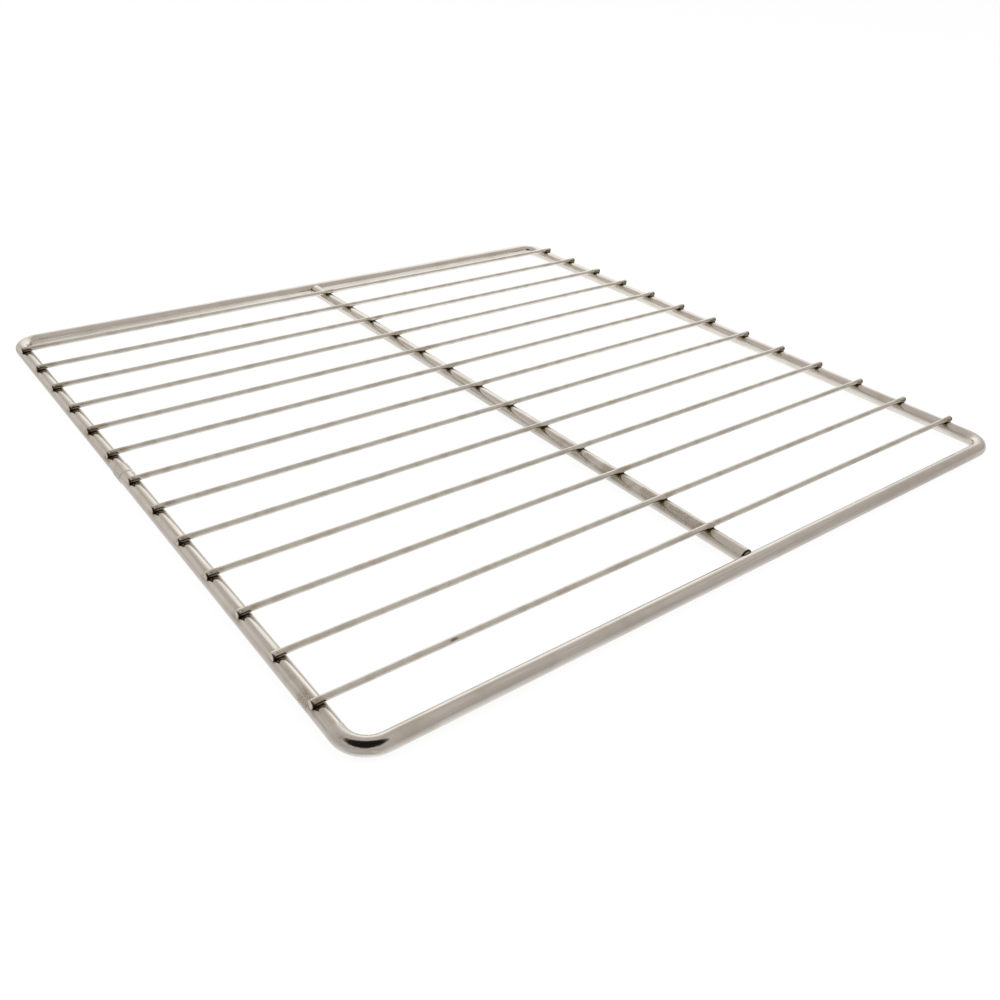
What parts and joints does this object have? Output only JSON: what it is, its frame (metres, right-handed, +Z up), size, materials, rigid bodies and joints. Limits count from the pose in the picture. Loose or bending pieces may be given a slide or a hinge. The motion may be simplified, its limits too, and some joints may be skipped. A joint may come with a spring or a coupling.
{
  "type": "fryer wire rack",
  "caption": "Flat welded wire rack: a bent round-rod frame, one support rod across its middle and a row of thin cross wires, for holding food or screening crumbs in a fry tank.",
  "frame": {"origin": "under the middle of the frame, on the plane that the rack rests on, in millimetre source at x = 0, y = 0, z = 0", "axes": "+X along the cross wires to the right, +Y from the front rail to the back rail, +Z up, with the cross wires on top"},
  "size_m": [0.3495, 0.3524, 0.0084],
  "materials": {
    "plated_rod": "bright nickel-plated steel rod",
    "plated_wire": "bright nickel-plated steel wire"
  },
  "bodies": {
    "root": {"perimeter_frame": "plated_rod", "center_support_rod": "plated_rod", "cross_wire_01": "plated_wire", "cross_wire_02": "plated_wire", "cross_wire_03": "plated_wire", "cross_wire_04": "plated_wire", "cross_wire_05": "plated_wire", "cross_wire_06": "plated_wire", "cross_wire_07": "plated_wire", "cross_wire_08": "plated_wire", "cross_wire_09": "plated_wire", "cross_wire_10": "plated_wire", "cross_wire_11": "plated_wire", "cross_wire_12": "plated_wire", "cross_wire_13": "plated_wire"}
  },
  "joints": []
}
